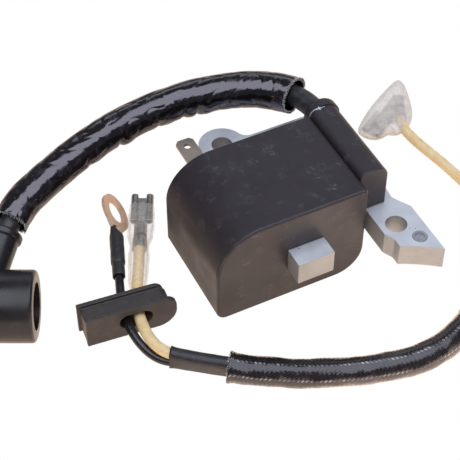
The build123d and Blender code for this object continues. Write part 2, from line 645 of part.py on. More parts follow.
# ---- slide-in grommet ----
def grommet_plate(length, height, y0, y1, x0, z0):
    plate = box(x0, x0 + length, y0, y1, z0, z0 + height)
    for z, radius in ((z0 + height, height * 0.3), (z0, height * 0.55)):
        corner = [
            e for e in plate.edges().filter_by(Axis.Y)
            if e.center().X > x0 + length - 0.01 and abs(e.center().Z - z) < 0.01
        ]
        plate = fillet(corner, radius)
    return plate


inset = GROMMET_CHANNEL_DEPTH
front, channel = GROMMET_FRONT_FLANGE, GROMMET_CHANNEL
thickness = front + channel + GROMMET_BACK_FLANGE
grommet = grommet_plate(GROMMET_LENGTH, GROMMET_HEIGHT, 0, front, 0, 0)
grommet += grommet_plate(
    GROMMET_LENGTH - inset - 0.6, GROMMET_HEIGHT - 2 * inset, front, front + channel, 0, inset
)
grommet += grommet_plate(GROMMET_LENGTH - 1.0, GROMMET_HEIGHT, front + channel, thickness, -0.7, 0)
hole = Plane(origin=(GROMMET_HOLE_X, thickness + 1, GROMMET_HOLE_Z), x_dir=(1, 0, 0), z_dir=(0, -1, 0))
grommet -= extrude(hole * SlotOverall(GROMMET_HOLE_LENGTH, GROMMET_HOLE_HEIGHT), thickness + 2)
grommet = Pos(*GROMMET_PLACE) * Rot(0, 0, GROMMET_TURN) * grommet
save("grommet", *solids_of(grommet))

for label, points, radii in (
    ("ht_lead", lead_points, lead_radii),
    ("cream_wire", cream_points, cream_radii),
    ("black_wire", black_points, black_radii),
):
    runs = [round((Vector(b) - Vector(a)).length, 1) for a, b in zip(points, points[1:])]
    print(label, "runs", runs, "radii", [round(r, 1) for r in radii])
for label, solid, path, diameter in (
    ("ht_lead", ht_lead, lead_path, LEAD_DIAMETER),
    ("cream_wire", cream_wire, cream_path, CREAM_WIRE),
    ("black_wire", black_wire, black_path, BLACK_WIRE),
):
    expected = math.pi * diameter**2 / 4 * path.length
    print(label, "length", round(path.length, 1), "volume ratio", round(solid.volume / expected, 4))
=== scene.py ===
import math

import bpy
from mathutils import Euler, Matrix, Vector, noise


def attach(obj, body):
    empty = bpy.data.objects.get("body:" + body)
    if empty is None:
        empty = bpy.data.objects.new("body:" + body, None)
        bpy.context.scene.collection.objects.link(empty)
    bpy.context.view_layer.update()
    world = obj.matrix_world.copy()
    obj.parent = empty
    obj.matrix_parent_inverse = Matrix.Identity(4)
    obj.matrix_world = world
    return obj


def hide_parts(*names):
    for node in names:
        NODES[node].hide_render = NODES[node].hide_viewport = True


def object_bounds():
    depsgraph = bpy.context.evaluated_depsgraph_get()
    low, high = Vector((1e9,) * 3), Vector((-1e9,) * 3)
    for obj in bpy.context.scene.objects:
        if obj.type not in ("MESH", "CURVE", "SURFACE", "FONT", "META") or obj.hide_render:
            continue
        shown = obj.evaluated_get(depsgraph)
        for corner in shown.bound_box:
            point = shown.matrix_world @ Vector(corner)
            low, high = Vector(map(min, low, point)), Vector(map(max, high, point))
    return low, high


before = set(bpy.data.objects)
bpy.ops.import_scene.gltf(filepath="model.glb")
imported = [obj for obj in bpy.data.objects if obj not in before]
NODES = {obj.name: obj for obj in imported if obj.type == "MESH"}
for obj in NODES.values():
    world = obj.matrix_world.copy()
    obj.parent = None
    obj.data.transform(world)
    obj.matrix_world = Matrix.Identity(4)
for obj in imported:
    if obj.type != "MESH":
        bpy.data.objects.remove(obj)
cad_box = [list(corner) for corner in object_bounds()]

# Metres, +Z up. The foot's mounting hole stands on the origin, the bench top is under the object.
MM = 0.001
BENCH_Z = cad_box[0][2]
SCENE = bpy.context.scene


def mm(*values):
    return Vector(values) * MM


def add_object(name, data):
    thing = bpy.data.objects.new(name, data)
    SCENE.collection.objects.link(thing)
    return thing


# ---- camera ----
CAMERA_PLACE = mm(-137.64, -186.88, 254.86)
CAMERA_TILT, CAMERA_TURN = 42.38, -26.43
LENS = 109.57

camera = bpy.data.cameras.new("camera")
camera.lens = LENS
camera.sensor_width = 36.0
camera.clip_start = 0.01
camera_stand = add_object("camera", camera)
camera_stand.location = CAMERA_PLACE
camera_stand.rotation_euler = Euler((math.radians(CAMERA_TILT), 0.0, math.radians(CAMERA_TURN)))
SCENE.camera = camera_stand
SCENE.view_settings.view_transform = "Standard"
SCENE.view_settings.look = "None"


# ---- shader building ----
class Shader:
    """Adds nodes to one tree: add() takes the node's type, its inputs and its settings."""

    def __init__(self, tree):
        self.tree = tree

    def add(self, kind, inputs=None, **settings):
        node = self.tree.nodes.new(kind)
        for name, value in settings.items():
            setattr(node, name, value)
        for name, value in (inputs or {}).items():
            if isinstance(value, bpy.types.NodeSocket):
                self.tree.links.new(value, node.inputs[name])
            else:
                node.inputs[name].default_value = value
        return node

    def math(self, operation, *values, clamp=False):
        inputs = dict(enumerate(values))
        return self.add("ShaderNodeMath", inputs, operation=operation, use_clamp=clamp).outputs[0]

    def place(self, stretch=(1.0, 1.0, 1.0)):
        """Position on the piece in millimetres, squeezed by stretch."""
        spot = self.add("ShaderNodeTexCoord").outputs["Object"]
        scale = [1.0 / (MM * s) for s in stretch]
        return self.add("ShaderNodeMapping", {"Vector": spot, "Scale": scale}).outputs[0]

    def noise(self, size, detail=3.0, rough=0.5, stretch=(1.0, 1.0, 1.0), warp=0.0):
        """Noise whose patches are about size millimetres across."""
        return self.add("ShaderNodeTexNoise", {
            "Vector": self.place(stretch), "Scale": 1.0 / size, "Detail": detail,
            "Roughness": rough, "Distortion": warp,
        }).outputs["Fac"]

    def ramp(self, value, low, high, to_low=0.0, to_high=1.0):
        return self.add("ShaderNodeMapRange", {
            "Value": value, "From Min": low, "From Max": high, "To Min": to_low, "To Max": to_high,
        }).outputs["Result"]

    def blend(self, mask, first, second):
        node = self.add("ShaderNodeMix", data_type="RGBA")
        for name, value in (("A", first), ("B", second)):
            socket = next(s for s in node.inputs if s.name == name and s.type == "RGBA")
            if isinstance(value, bpy.types.NodeSocket):
                self.tree.links.new(value, socket)
            else:
                socket.default_value = (*value, 1.0)
        factor = node.inputs[0]
        if isinstance(mask, bpy.types.NodeSocket):
            self.tree.links.new(mask, factor)
        else:
            factor.default_value = mask
        return next(s for s in node.outputs if s.type == "RGBA")

    def bump(self, height, depth):
        """Bump of depth millimetres."""
        inputs = {"Height": height, "Distance": depth * MM, "Strength": 1.0}
        return self.add("ShaderNodeBump", inputs).outputs["Normal"]


def effect(name, inputs, outputs, build):
    """A shader node group: build(shader, sockets in) returns a dict of its outputs."""
    tree = bpy.data.node_groups.new(name, "ShaderNodeTree")
    for label, kind, value in inputs:
        socket = tree.interface.new_socket(label, in_out="INPUT", socket_type=kind)
        if value is not None:
            socket.default_value = value
    for label, kind in outputs:
        tree.interface.new_socket(label, in_out="OUTPUT", socket_type=kind)
    shader = Shader(tree)
    given = shader.add("NodeGroupInput").outputs
    made = build(shader, given)
    ends = shader.add("NodeGroupOutput")
    for label, socket in made.items():
        tree.links.new(socket, ends.inputs[label])
    return tree


FLOAT = "NodeSocketFloat"
# How each run of scratches is stretched along X, Y and Z, and how wide its lines are.
SCRATCH_RUNS = (((9.0, 0.7, 2.0), 0.012), ((0.8, 7.0, 2.0), 0.010), ((4.0, 3.0, 0.6), 0.010))


def build_scuffs(shader, given):
    """Thin broken scratches lying several ways, in patches."""
    lines = None
    for stretch, width in SCRATCH_RUNS:
        field = shader.noise(0.9, 2.0, 0.4, stretch, warp=1.4)
        off = shader.math("ABSOLUTE", shader.math("SUBTRACT", field, 0.5))
        line = shader.ramp(off, 0.0, width, 1.0, 0.0)
        lines = line if lines is None else shader.math("MAXIMUM", lines, line)
    patches = shader.ramp(shader.noise(3.2, 2.0, 0.5), 0.56, 0.68)
    mask = shader.math("MULTIPLY", shader.math("MULTIPLY", lines, patches), given["Amount"])
    return {"Mask": mask}


def build_mould_grain(shader, given):
    """Fine pebbled skin of a moulding, with broad slow waves under it."""
    fine = shader.noise(0.22, 4.0, 0.6)
    broad = shader.noise(7.0, 2.0, 0.5)
    height = shader.math(
        "ADD", shader.math("MULTIPLY", fine, given["Fine"]), shader.math("MULTIPLY", broad, given["Broad"]),
    )
    return {"Height": height, "Mottle": broad}


def build_grime(shader, given):
    """Handling marks: cloudy patches with finer breaks inside them."""
    cloud = shader.noise(2.4, 5.0, 0.62, warp=0.6)
    mask = shader.ramp(cloud, 0.46, 0.7)
    return {"Mask": shader.math("MULTIPLY", mask, given["Amount"], clamp=True)}


def build_braid(shader, given):
    """Braid on a sleeve: u runs round it once, v is metres along it."""
    spot = shader.add("ShaderNodeUVMap", uv_map="wrap").outputs["UV"]
    parts = shader.add("ShaderNodeSeparateXYZ", {"Vector": spot})
    turns = shader.math("MULTIPLY", parts.outputs["X"], given["Yarns"])
    rise = shader.math("MULTIPLY", parts.outputs["Y"], given["Per metre"])
    over, under = shader.math("ADD", turns, rise), shader.math("SUBTRACT", turns, rise)

    def yarn(position):
        wave = shader.math("SINE", shader.math("MULTIPLY", position, math.tau / 2))
        return shader.math("ABSOLUTE", wave)

    crossing = shader.math("ADD", shader.math("FLOOR", over), shader.math("FLOOR", under))
    even = shader.math("FLOORED_MODULO", crossing, 2.0)
    rest = shader.math("SUBTRACT", 1.0, even)
    height = shader.math(
        "ADD", shader.math("MULTIPLY", yarn(over), even), shader.math("MULTIPLY", yarn(under), rest)
    )
    tracer = shader.math(
        "COMPARE", shader.math("FLOORED_MODULO", crossing, given["Tracer every"]), 0.0, 0.1
    )
    crown = shader.ramp(height, 0.5, 0.85)
    return {"Height": height, "Fleck": shader.math("MULTIPLY", tracer, crown)}


SCUFFS = effect("scuffs", [("Amount", FLOAT, 1.0)], [("Mask", FLOAT)], build_scuffs)
MOULD_GRAIN = effect(
    "mould_grain", [("Fine", FLOAT, 0.5), ("Broad", FLOAT, 0.5)],
    [("Height", FLOAT), ("Mottle", FLOAT)], build_mould_grain,
)
GRIME = effect("grime", [("Amount", FLOAT, 1.0)], [("Mask", FLOAT)], build_grime)
BRAID = effect(
    "braid", [("Yarns", FLOAT, 24.0), ("Per metre", FLOAT, 900.0), ("Tracer every", FLOAT, 6.0)],
    [("Height", FLOAT), ("Fleck", FLOAT)], build_braid,
)


def finish(name, build):
    """A material whose Principled shader is filled in by build(shader, surface)."""
    made = bpy.data.materials.new(name)
    made.use_nodes = True
    shader = Shader(made.node_tree)
    build(shader, made.node_tree.nodes["Principled BSDF"])
    return made


def use(shader, group, **amounts):
    inputs = {name.replace("_", " "): value for name, value in amounts.items()}
    return shader.add("ShaderNodeGroup", inputs, node_tree=group).outputs


def wire_in(shader, surface, **values):
    """Sets or links the surface's sockets, named with underscores for spaces."""
    for name, value in values.items():
        socket = surface.inputs[name.replace("_", " ")]
        if isinstance(value, bpy.types.NodeSocket):
            shader.tree.links.new(value, socket)
        elif socket.type == "RGBA":
            socket.default_value = (*value, 1.0)
        else:
            socket.default_value = value


# ---- finishes ----
SCRATCH = (0.30, 0.29, 0.30)
VARNISH_TINT = (0.95, 0.90, 1.0)
SHEET = 0.5
WINDING_PITCH = 0.5
BOOT_MOUTH_SIDE = (0.896, -0.445, 0.0)


def handled(colour):
    """The same colour where fingers and dust have dulled it."""
    return [c * 1.7 + 0.004 for c in colour]


def moulding(colour, scratch, rough, fine, scuffs, grime):
    """Moulded plastic or rubber with its grain, handling marks and pale scratches."""
    def build(shader, surface):
        grain = use(shader, MOULD_GRAIN, Fine=fine, Broad=0.5)
        cloud = use(shader, GRIME, Amount=grime)["Mask"]
        marks = use(shader, SCUFFS, Amount=scuffs)["Mask"]
        tint = shader.blend(cloud, colour, handled(colour))
        wire_in(
            shader, surface, Base_Color=shader.blend(marks, tint, scratch),
            Roughness=shader.ramp(grain["Mottle"], 0.3, 0.7, rough - 0.06, rough + 0.07),
            Normal=shader.bump(grain["Height"], 0.06), Specular_IOR_Level=0.45,
        )
    return build


def boot_with_rim_reflection(colour, rim_reflection_colour, axis):
    """Glossy moulded rubber, nicked, with a painted reflection: pale patches on the flat rim that the axis
    points out of.
    """
    def build(shader, surface):
        grain = use(shader, MOULD_GRAIN, Fine=0.25, Broad=0.5)
        marks = use(shader, SCUFFS, Amount=0.14)["Mask"]
        cloud = use(shader, GRIME, Amount=0.4)["Mask"]
        facing = shader.add(
            "ShaderNodeVectorMath", {0: shader.add("ShaderNodeTexCoord").outputs["Normal"], 1: axis},
            operation="DOT_PRODUCT",
        ).outputs["Value"]
        patchy = shader.ramp(cloud, 0.0, 0.2, 0.45, 0.9)
        # Painted reflection: pale rim colour on the faces turned to the axis, broken into patches.
        rim_reflection = shader.math("MULTIPLY", shader.ramp(facing, 0.86, 0.97), patchy)
        tint = shader.blend(cloud, colour, handled(colour))
        tint = shader.blend(marks, tint, SCRATCH)
        wire_in(
            shader, surface, Base_Color=shader.blend(rim_reflection, tint, rim_reflection_colour),
            Roughness=shader.ramp(grain["Mottle"], 0.3, 0.7, 0.24, 0.37),
            Normal=shader.bump(grain["Height"], 0.06), Specular_IOR_Level=0.45,
        )
    return build


def plated_sheet(shader, surface):
    """Zinc-plated laminations: pale broad faces, sheet lines and pits on the cut edges, which are darker
    partly by their own duller finish and partly by painted shade on the side faces.
    """
    clouds = shader.noise(5.0, 4.0, 0.6)
    spangle = shader.noise(0.5, 3.0, 0.7)
    pits = shader.ramp(shader.noise(0.75, 1.0, 0.3), 0.76, 0.8)
    facing = shader.add("ShaderNodeNewGeometry").outputs["Normal"]
    upward = shader.add("ShaderNodeSeparateXYZ", {"Vector": facing}).outputs["Z"]
    on_edge = shader.ramp(shader.math("ABSOLUTE", upward), 0.2, 0.6, 1.0, 0.0)
    level = shader.add("ShaderNodeSeparateXYZ", {"Vector": shader.place()}).outputs["Z"]
    sheets = shader.math("PINGPONG", level, SHEET / 2)
    seam = shader.math("MULTIPLY", shader.ramp(sheets, 0.0, 0.06, 1.0, 0.0), on_edge)
    face = shader.blend(clouds, (0.56, 0.59, 0.65), (0.70, 0.72, 0.76))
    drawn = shader.noise(0.6, 3.0, 0.6, (6.0, 6.0, 0.4))
    # Darker colour of the side faces: partly the cut edges' own finish, partly painted shade.
    cut = shader.blend(drawn, (0.33, 0.335, 0.34), (0.43, 0.435, 0.44))
    colour = shader.blend(on_edge, face, cut)
    colour = shader.blend(shader.math("MULTIPLY", seam, 0.35), colour, (0.25, 0.21, 0.19))
    colour = shader.blend(shader.math("MULTIPLY", pits, 0.8), colour, (0.07, 0.06, 0.06))
    height = shader.math("SUBTRACT", shader.math("MULTIPLY", spangle, 0.25), seam)
    wire_in(
        shader, surface, Base_Color=colour, Metallic=0.55,
        Roughness=shader.ramp(clouds, 0.3, 0.7, 0.42, 0.58), Normal=shader.bump(height, 0.03),
    )


def rivet_head(shader, surface):
    """Hammered rivet: smeared plating, dark where it is bruised."""
    smear = shader.noise(0.7, 4.0, 0.7)
    wire_in(
        shader, surface, Base_Color=shader.blend(smear, (0.22, 0.23, 0.27), (0.55, 0.56, 0.60)),
        Metallic=0.8, Roughness=shader.ramp(smear, 0.3, 0.7, 0.35, 0.6),
        Normal=shader.bump(smear, 0.06),
    )


def bare_metal(dark, light, rough, metallic=1.0, speck=0.4):
    """Stamped sheet metal: rolling streaks, blotches and a little tarnish."""
    def build(shader, surface):
        blotch = shader.noise(1.6, 4.0, 0.6)
        streak = shader.noise(0.25, 2.0, 0.6, (1.0, 8.0, 1.0))
        tarnish = shader.ramp(shader.noise(0.8, 4.0, 0.7), 0.58, 0.72)
        colour = shader.blend(blotch, dark, light)
        colour = shader.blend(shader.math("MULTIPLY", tarnish, speck), colour, [c * 0.4 for c in dark])
        wire_in(
            shader, surface, Base_Color=colour, Metallic=metallic,
            Roughness=shader.ramp(streak, 0.3, 0.7, rough - 0.08, rough + 0.1),
            Normal=shader.bump(shader.math("ADD", streak, blotch), 0.012),
        )
    return build


def plain_insulation(colour, dirty, rough, line_depth=0.04):
    """Extruded cable jacket: faint draw lines and dirt."""
    def build(shader, surface):
        dirt = shader.noise(2.2, 4.0, 0.65)
        lines = shader.noise(0.3, 2.0, 0.5)
        wire_in(
            shader, surface, Base_Color=shader.blend(shader.ramp(dirt, 0.42, 0.75), colour, dirty),
            Roughness=shader.ramp(dirt, 0.3, 0.7, rough - 0.05, rough + 0.08),
            Normal=shader.bump(lines, line_depth), Specular_IOR_Level=0.5,
        )
    return build


def varnished_braid(shader, surface):
    """Glass braid under a thick glossy varnish that has creased and cracked."""
    weave = use(shader, BRAID, Yarns=34.0, Per_metre=1150.0, Tracer_every=7.0)
    folds = shader.noise(2.6, 1.0, 0.4, warp=0.3)
    crackle = shader.noise(0.9, 2.0, 0.5, warp=0.5)
    rust = shader.ramp(shader.noise(0.5, 1.0, 0.4), 0.80, 0.83)
    worn = shader.ramp(shader.noise(1.9, 3.0, 0.6), 0.52, 0.62)
    yarn = shader.math("MULTIPLY", weave["Height"], shader.ramp(worn, 0.0, 1.0, 0.008, 0.05))
    height = shader.math("ADD", shader.math("ADD", yarn, shader.math("MULTIPLY", crackle, 0.10)), folds)
    colour = shader.blend(worn, (0.006, 0.005, 0.005), (0.016, 0.014, 0.018))
    colour = shader.blend(rust, colour, (0.55, 0.20, 0.07))
    wire_in(
        shader, surface, Base_Color=colour, Roughness=shader.ramp(worn, 0.0, 1.0, 0.12, 0.26),
        Normal=shader.bump(height, 0.20), Specular_IOR_Level=0.85, Specular_Tint=VARNISH_TINT,
        Coat_Weight=0.45, Coat_Roughness=0.06, Coat_Tint=VARNISH_TINT,
    )


def speckled_braid(shader, surface):
    """Black varnished braid with white tracer yarns showing as rows of flecks."""
    weave = use(shader, BRAID, Yarns=26.0, Per_metre=980.0, Tracer_every=9.0)
    worn = shader.ramp(shader.noise(2.6, 3.0, 0.6, warp=0.4), 0.44, 0.6)
    lump = shader.noise(2.4, 2.0, 0.5)
    white = shader.math("MULTIPLY", weave["Fleck"], shader.ramp(worn, 0.0, 1.0, 0.10, 0.70))
    colour = shader.blend(lump, (0.008, 0.006, 0.006), (0.016, 0.013, 0.014))
    height = shader.math("ADD", shader.math("MULTIPLY", weave["Height"], 0.09), lump)
    wire_in(
        shader, surface, Base_Color=shader.blend(white, colour, (0.50, 0.49, 0.51)),
        Roughness=shader.ramp(lump, 0.3, 0.7, 0.20, 0.30), Normal=shader.bump(height, 0.22),
        Specular_IOR_Level=0.6, Specular_Tint=VARNISH_TINT, Coat_Weight=0.25, Coat_Roughness=0.12,
    )


def frayed_glass(shader, surface):
    """Bare glass strands, some still dark with varnish."""
    strands = shader.noise(0.35, 4.0, 0.7)
    bare = shader.ramp(strands, 0.4, 0.6)
    wire_in(
        shader, surface, Base_Color=shader.blend(bare, (0.10, 0.10, 0.10), (0.72, 0.71, 0.70)),
        Roughness=0.7, Normal=shader.bump(strands, 0.1),
    )


def clear_vinyl(thin, thick, depth):
    """Clear film: more solid where it is seen edge on, cloudy between thin and thick."""
    def build(shader, surface):
        crease = shader.noise(1.9, 2.0, 0.5, warp=0.6)
        haze = shader.noise(3.0, 3.0, 0.55)
        edge = shader.add("ShaderNodeLayerWeight", {"Blend": 0.45}).outputs["Facing"]
        body = shader.ramp(haze, 0.3, 0.7, thin, thick)
        alpha = shader.math("ADD", body, shader.math("MULTIPLY", edge, 0.38))
        wire_in(
            shader, surface, Base_Color=shader.blend(crease, (0.76, 0.67, 0.58), (0.88, 0.83, 0.78)),
            Roughness=shader.ramp(crease, 0.3, 0.7, 0.12, 0.28), Alpha=alpha,
            Normal=shader.bump(crease, depth), Specular_IOR_Level=0.6,
        )
    return build


def wound_copper(shader, surface):
    """Turns of varnished copper wire lying side by side."""
    beside = shader.add("ShaderNodeSeparateXYZ", {"Vector": shader.place()}).outputs["Y"]
    turns = shader.math("PINGPONG", beside, WINDING_PITCH / 2)
    varnish = shader.noise(1.4, 3.0, 0.6)
    wire_in(
        shader, surface, Base_Color=shader.blend(varnish, (0.42, 0.13, 0.05), (0.68, 0.27, 0.12)),
        Metallic=0.9, Roughness=shader.ramp(varnish, 0.3, 0.7, 0.2, 0.35),
        Normal=shader.bump(turns, 0.3), Coat_Weight=0.4,
    )


def fibre_board(shader, surface):
    """Green circuit board with the glass cloth faintly showing."""
    weave = shader.noise(0.5, 2.0, 0.5)
    wire_in(
        shader, surface, Base_Color=shader.blend(weave, (0.03, 0.16, 0.07), (0.06, 0.26, 0.11)),
        Roughness=0.42, Normal=shader.bump(weave, 0.03),
    )


def potting(shader, surface):
    """Cast black resin with the slow ripples that it set in."""
    flow = shader.noise(3.0, 3.0, 0.5, warp=0.5)
    wire_in(
        shader, surface, Base_Color=shader.blend(flow, (0.018, 0.017, 0.018), (0.035, 0.033, 0.034)),
        Roughness=shader.ramp(flow, 0.3, 0.7, 0.22, 0.4), Normal=shader.bump(flow, 0.35),
        Specular_IOR_Level=0.5,
    )


FINISHES = {
    "housing": finish("housing_plastic", moulding(
        (0.025, 0.0200, 0.025), SCRATCH, rough=0.43, fine=0.4, scuffs=0.34, grime=0.22)),
    "core_steel": finish("core_plating", plated_sheet),
    "rivet_steel": finish("rivet_metal", rivet_head),
    "resin": finish("potting_compound", potting),
    "bobbin": finish("bobbin_nylon", moulding(
        (0.55, 0.51, 0.42), (0.8, 0.78, 0.7), rough=0.45, fine=0.4, scuffs=0.2, grime=0.4)),
    "copper": finish("enamelled_wire", wound_copper),
    "board": finish("fibre_board", fibre_board),
    "component_black": finish("component_body", moulding(
        (0.02, 0.02, 0.02), SCRATCH, rough=0.4, fine=0.4, scuffs=0.2, grime=0.3)),
    "component_tan": finish("component_coating", moulding(
        (0.50, 0.30, 0.14), SCRATCH, rough=0.35, fine=0.3, scuffs=0.1, grime=0.3)),
    "tinned_brass": finish("tinned_brass", bare_metal(
        (0.32, 0.25, 0.20), (0.56, 0.48, 0.42), rough=0.38, metallic=0.85, speck=0.5)),
    "spike_brass": finish("spike_brass", bare_metal((0.55, 0.40, 0.16), (0.75, 0.58, 0.28), rough=0.3)),
    "lead_rubber": finish("lead_rubber", plain_insulation(
        (0.018, 0.018, 0.021), (0.05, 0.05, 0.056), rough=0.36)),
    # The boot's second colour is a painted reflection on the flat rim of its mouth.
    "boot_rubber": finish("boot_rubber", boot_with_rim_reflection(
        (0.014, 0.012, 0.014), (0.17, 0.145, 0.13), axis=BOOT_MOUTH_SIDE)),
    "grommet_rubber": finish("grommet_rubber", moulding(
        (0.040, 0.033, 0.031), SCRATCH, rough=0.46, fine=0.5, scuffs=0.15, grime=0.6)),
    "shrink_black": finish("shrink_tube", moulding(
        (0.024, 0.023, 0.025), SCRATCH, rough=0.42, fine=0.5, scuffs=0.3, grime=0.8)),
    "varnished_braid": finish("varnished_braid", varnished_braid),
    "speckled_braid": finish("speckled_braid", speckled_braid),
    "spring_steel": finish("spring_steel", bare_metal((0.45, 0.44, 0.43), (0.7, 0.69, 0.67), rough=0.28)),
    "cream_pvc": finish("cream_insulation", plain_insulation(
        (0.86, 0.66, 0.36), (0.70, 0.50, 0.25), rough=0.38)),
    "black_pvc": finish("black_insulation", plain_insulation(
        (0.012, 0.012, 0.014), (0.026, 0.026, 0.03), rough=0.2, line_depth=0.02)),
    "ring_copper": finish("ring_copper", bare_metal(
        (0.80, 0.52, 0.36), (0.95, 0.72, 0.54), rough=0.40, metallic=0.6, speck=0.15)),
    "tinned_steel": finish("tinned_steel", bare_metal(
        (0.16, 0.155, 0.15), (0.70, 0.69, 0.67), rough=0.28, metallic=1.0, speck=0.75)),
    # Pale bluish strip on the tower's back edge: partly moulding flash, partly a painted highlight.
    "flash_and_rim_highlight": finish("flash_and_rim_highlight", plain_insulation(
        (0.62, 0.64, 0.72), (0.40, 0.41, 0.47), rough=0.6)),
    "clear_vinyl": finish("clear_vinyl", clear_vinyl(thin=0.0, thick=0.07, depth=0.05)),
    "cloudy_vinyl": finish("cloudy_vinyl", clear_vinyl(thin=0.36, thick=0.58, depth=0.14)),
}
FRAYED = finish("frayed_glass", frayed_glass)

# Each node's slot, which is also the name of its finish.
NODE_FINISHES = {
    "housing_shell": "housing", "core_laminations": "core_steel", "core_rivets": "rivet_steel",
    "potting_resin": "resin", "primary_bobbin": "bobbin", "secondary_bobbin": "bobbin",
    "primary_winding": "copper", "secondary_winding": "copper", "circuit_board": "board",
    "power_transistor": "component_black", "board_resistors": "component_tan",
    "board_capacitor": "component_tan", "trigger_diode": "component_black",
    "ground_clip": "tinned_brass", "kill_tab": "tinned_brass", "ht_spike": "spike_brass",
    "ht_lead": "lead_rubber", "ht_lead_sleeve": "varnished_braid", "plug_boot": "boot_rubber",
    "plug_spring": "spring_steel", "cream_wire": "cream_pvc", "black_wire": "black_pvc",
    "harness_sleeve": "speckled_braid", "harness_shrink_tube": "shrink_black",
    "ring_terminal": "ring_copper", "ground_ring_terminal": "ring_copper",
    "ring_shrink_sleeve": "shrink_black", "ground_ring_sleeve": "shrink_black",
    "switch_terminal": "tinned_steel", "flag_terminal": "tinned_steel",
    "switch_terminal_sleeve": "clear_vinyl", "flag_terminal_sleeve": "clear_vinyl",
    "grommet": "grommet_rubber",
}
for node_name, slot_name in NODE_FINISHES.items():
    node_mesh = NODES[node_name].data
    node_mesh.materials.clear()
    node_mesh.materials.append(FINISHES[slot_name])


# ---- cords ----
def route(name, points, thickness, finish_name):
    """A lead on one smooth curve through the pull of its points, given in millimetres."""
    curve = bpy.data.curves.new(name, "CURVE")
    curve.dimensions = "3D"
    spline = curve.splines.new("NURBS")
    spline.points.add(len(points) - 1)
    for control, point in zip(spline.points, points):
        control.co = (*mm(*point), 1.0)
    spline.order_u = 3
    spline.use_endpoint_u = True
    spline.resolution_u = 16
    curve.bevel_depth = thickness / 2 * MM
    curve.bevel_resolution = 8
    curve.use_fill_caps = True
    curve.materials.append(FINISHES[finish_name])
    return add_object(name, curve)


def centreline(cord):
    """The points of the cord's own smooth curve."""
    bare = cord.data.copy()
    bare.bevel_depth = 0.0
    stand_in = add_object("stand_in", bare)
    mesh = bpy.data.meshes.new_from_object(stand_in)
    points = [v.co.copy() for v in mesh.vertices]
    bpy.data.objects.remove(stand_in)
    return points


def spaced(points, step):
    """The same line with its points a step apart."""
    result, carried = [points[0].copy()], 0.0
    for a, b in zip(points, points[1:]):
        run = (b - a).length
        while run > 0 and carried + run >= step:
            share = (step - carried) / run
            a = a.lerp(b, share)
            run = (b - a).length
            result.append(a.copy())
            carried = 0.0
        carried += run
    return result


def stretch_of(points, start, end):
    """The part of an evenly spaced line from start to end, in metres along it."""
    step = (points[1] - points[0]).length
    return points[max(0, round(start / step)):round(end / step) + 1]


# Thicknesses of the cords and their sleeves, in millimetres as all the values below.
LEAD, LEAD_SLEEVE, LEAD_SLEEVE_WALL = 5.5, 8.8, 0.7
CREAM, BLACK = 2.8, 2.2
HARNESS_SLEEVE, HARNESS_SLEEVE_INSIDE, HARNESS_SLEEVE_WALL = 7.1, 6.1, 0.45
FILM = 0.35
BOOT_MOUTH = Vector((-85.3, 20.9, -1.3))
BOOT_AXIS = Vector(BOOT_MOUTH_SIDE).normalized()
NECK_AXIS = Vector((0.6415, 0.7068, 0.30)).normalized()
NECK_FROM_MOUTH = 14.2


def on_neck(distance):
    """The point that far out along the boot's neck."""
    return tuple(BOOT_MOUTH - BOOT_AXIS * NECK_FROM_MOUTH + NECK_AXIS * distance)


def along(start, axis, distance):
    return tuple(start + axis * distance)


switch_axis = Vector((0.443, 0.897, 0.0)).normalized()
switch_origin = Vector((-54.3, 31.7, -7.4))
flag_axis = Vector((0.48, 0.877, 0.0)).normalized()
flag_origin = Vector((28.9, 43.8, -7.6))
ring_axis = Vector((0.354, 0.935, 0.0)).normalized()
ring_centre = Vector((-55.7, 43.5, -4.7))
ground_axis = Vector((0.95, -0.31, 0.0)).normalized()
ground_centre = Vector((43.3, -25.6, -8.0))

lead_points = [
    (-2.3, 28.0, 15.0), (-2.3, 40.5, 15.0), (-9.0, 49.2, 14.2), (-19.0, 54.6, 13.4),
    (-30.5, 57.4, 12.4), (-44.0, 57.6, 11.2), (-58.0, 54.8, 9.8), (-71.0, 50.0, 8.0),
    on_neck(25.0), on_neck(10.0),
]
shared_route = [
    (-59.8, -5.0), (-49.5, -13.0), (-37.5, -20.8), (-24.5, -26.4), (-11.0, -30.0), (2.0, -28.0),
    (13.5, -21.2),
]
CREAM_Z, BLACK_Z, SLEEVE_Z = -5.25, -7.85, -6.45
cream_points = [
    along(switch_origin, switch_axis, 1.5), along(switch_origin, switch_axis, -10.0),
    (-62.9, 14.4, -5.3), (-64.6, 5.6, -5.1), (-63.6, -1.0, -5.2),
    *[(x, y, CREAM_Z) for x, y in shared_route],
    (22.5, -11.0, -6.6), (30.4, 0.5, -8.4), (32.4, 12.0, -8.6), (31.0, 24.0, -8.5),
    (28.6, 34.0, -8.2), along(flag_origin, flag_axis, -2.7), along(flag_origin, flag_axis, 3.0),
]
black_points = [
    along(ring_centre, ring_axis, -7.0), along(ring_centre, ring_axis, -24.0),
    (-66.4, 14.4, -5.4), (-67.2, 6.0, -6.4), (-64.8, -1.2, -7.9),
    *[(x, y, BLACK_Z) for x, y in shared_route],
    along(ground_centre, ground_axis, -24.0), along(ground_centre, ground_axis, -7.0),
]

lead = route("lead_cable", lead_points, LEAD, "lead_rubber")
cream = route("cream_harness_wire", cream_points, CREAM, "cream_pvc")
black = route("black_harness_wire", black_points, BLACK, "black_pvc")
for cord, node_name, body_name in (
    (lead, "ht_lead", "coil"), (cream, "cream_wire", "harness"), (black, "black_wire", "harness"),
):
    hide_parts(node_name)
    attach(cord, body_name)


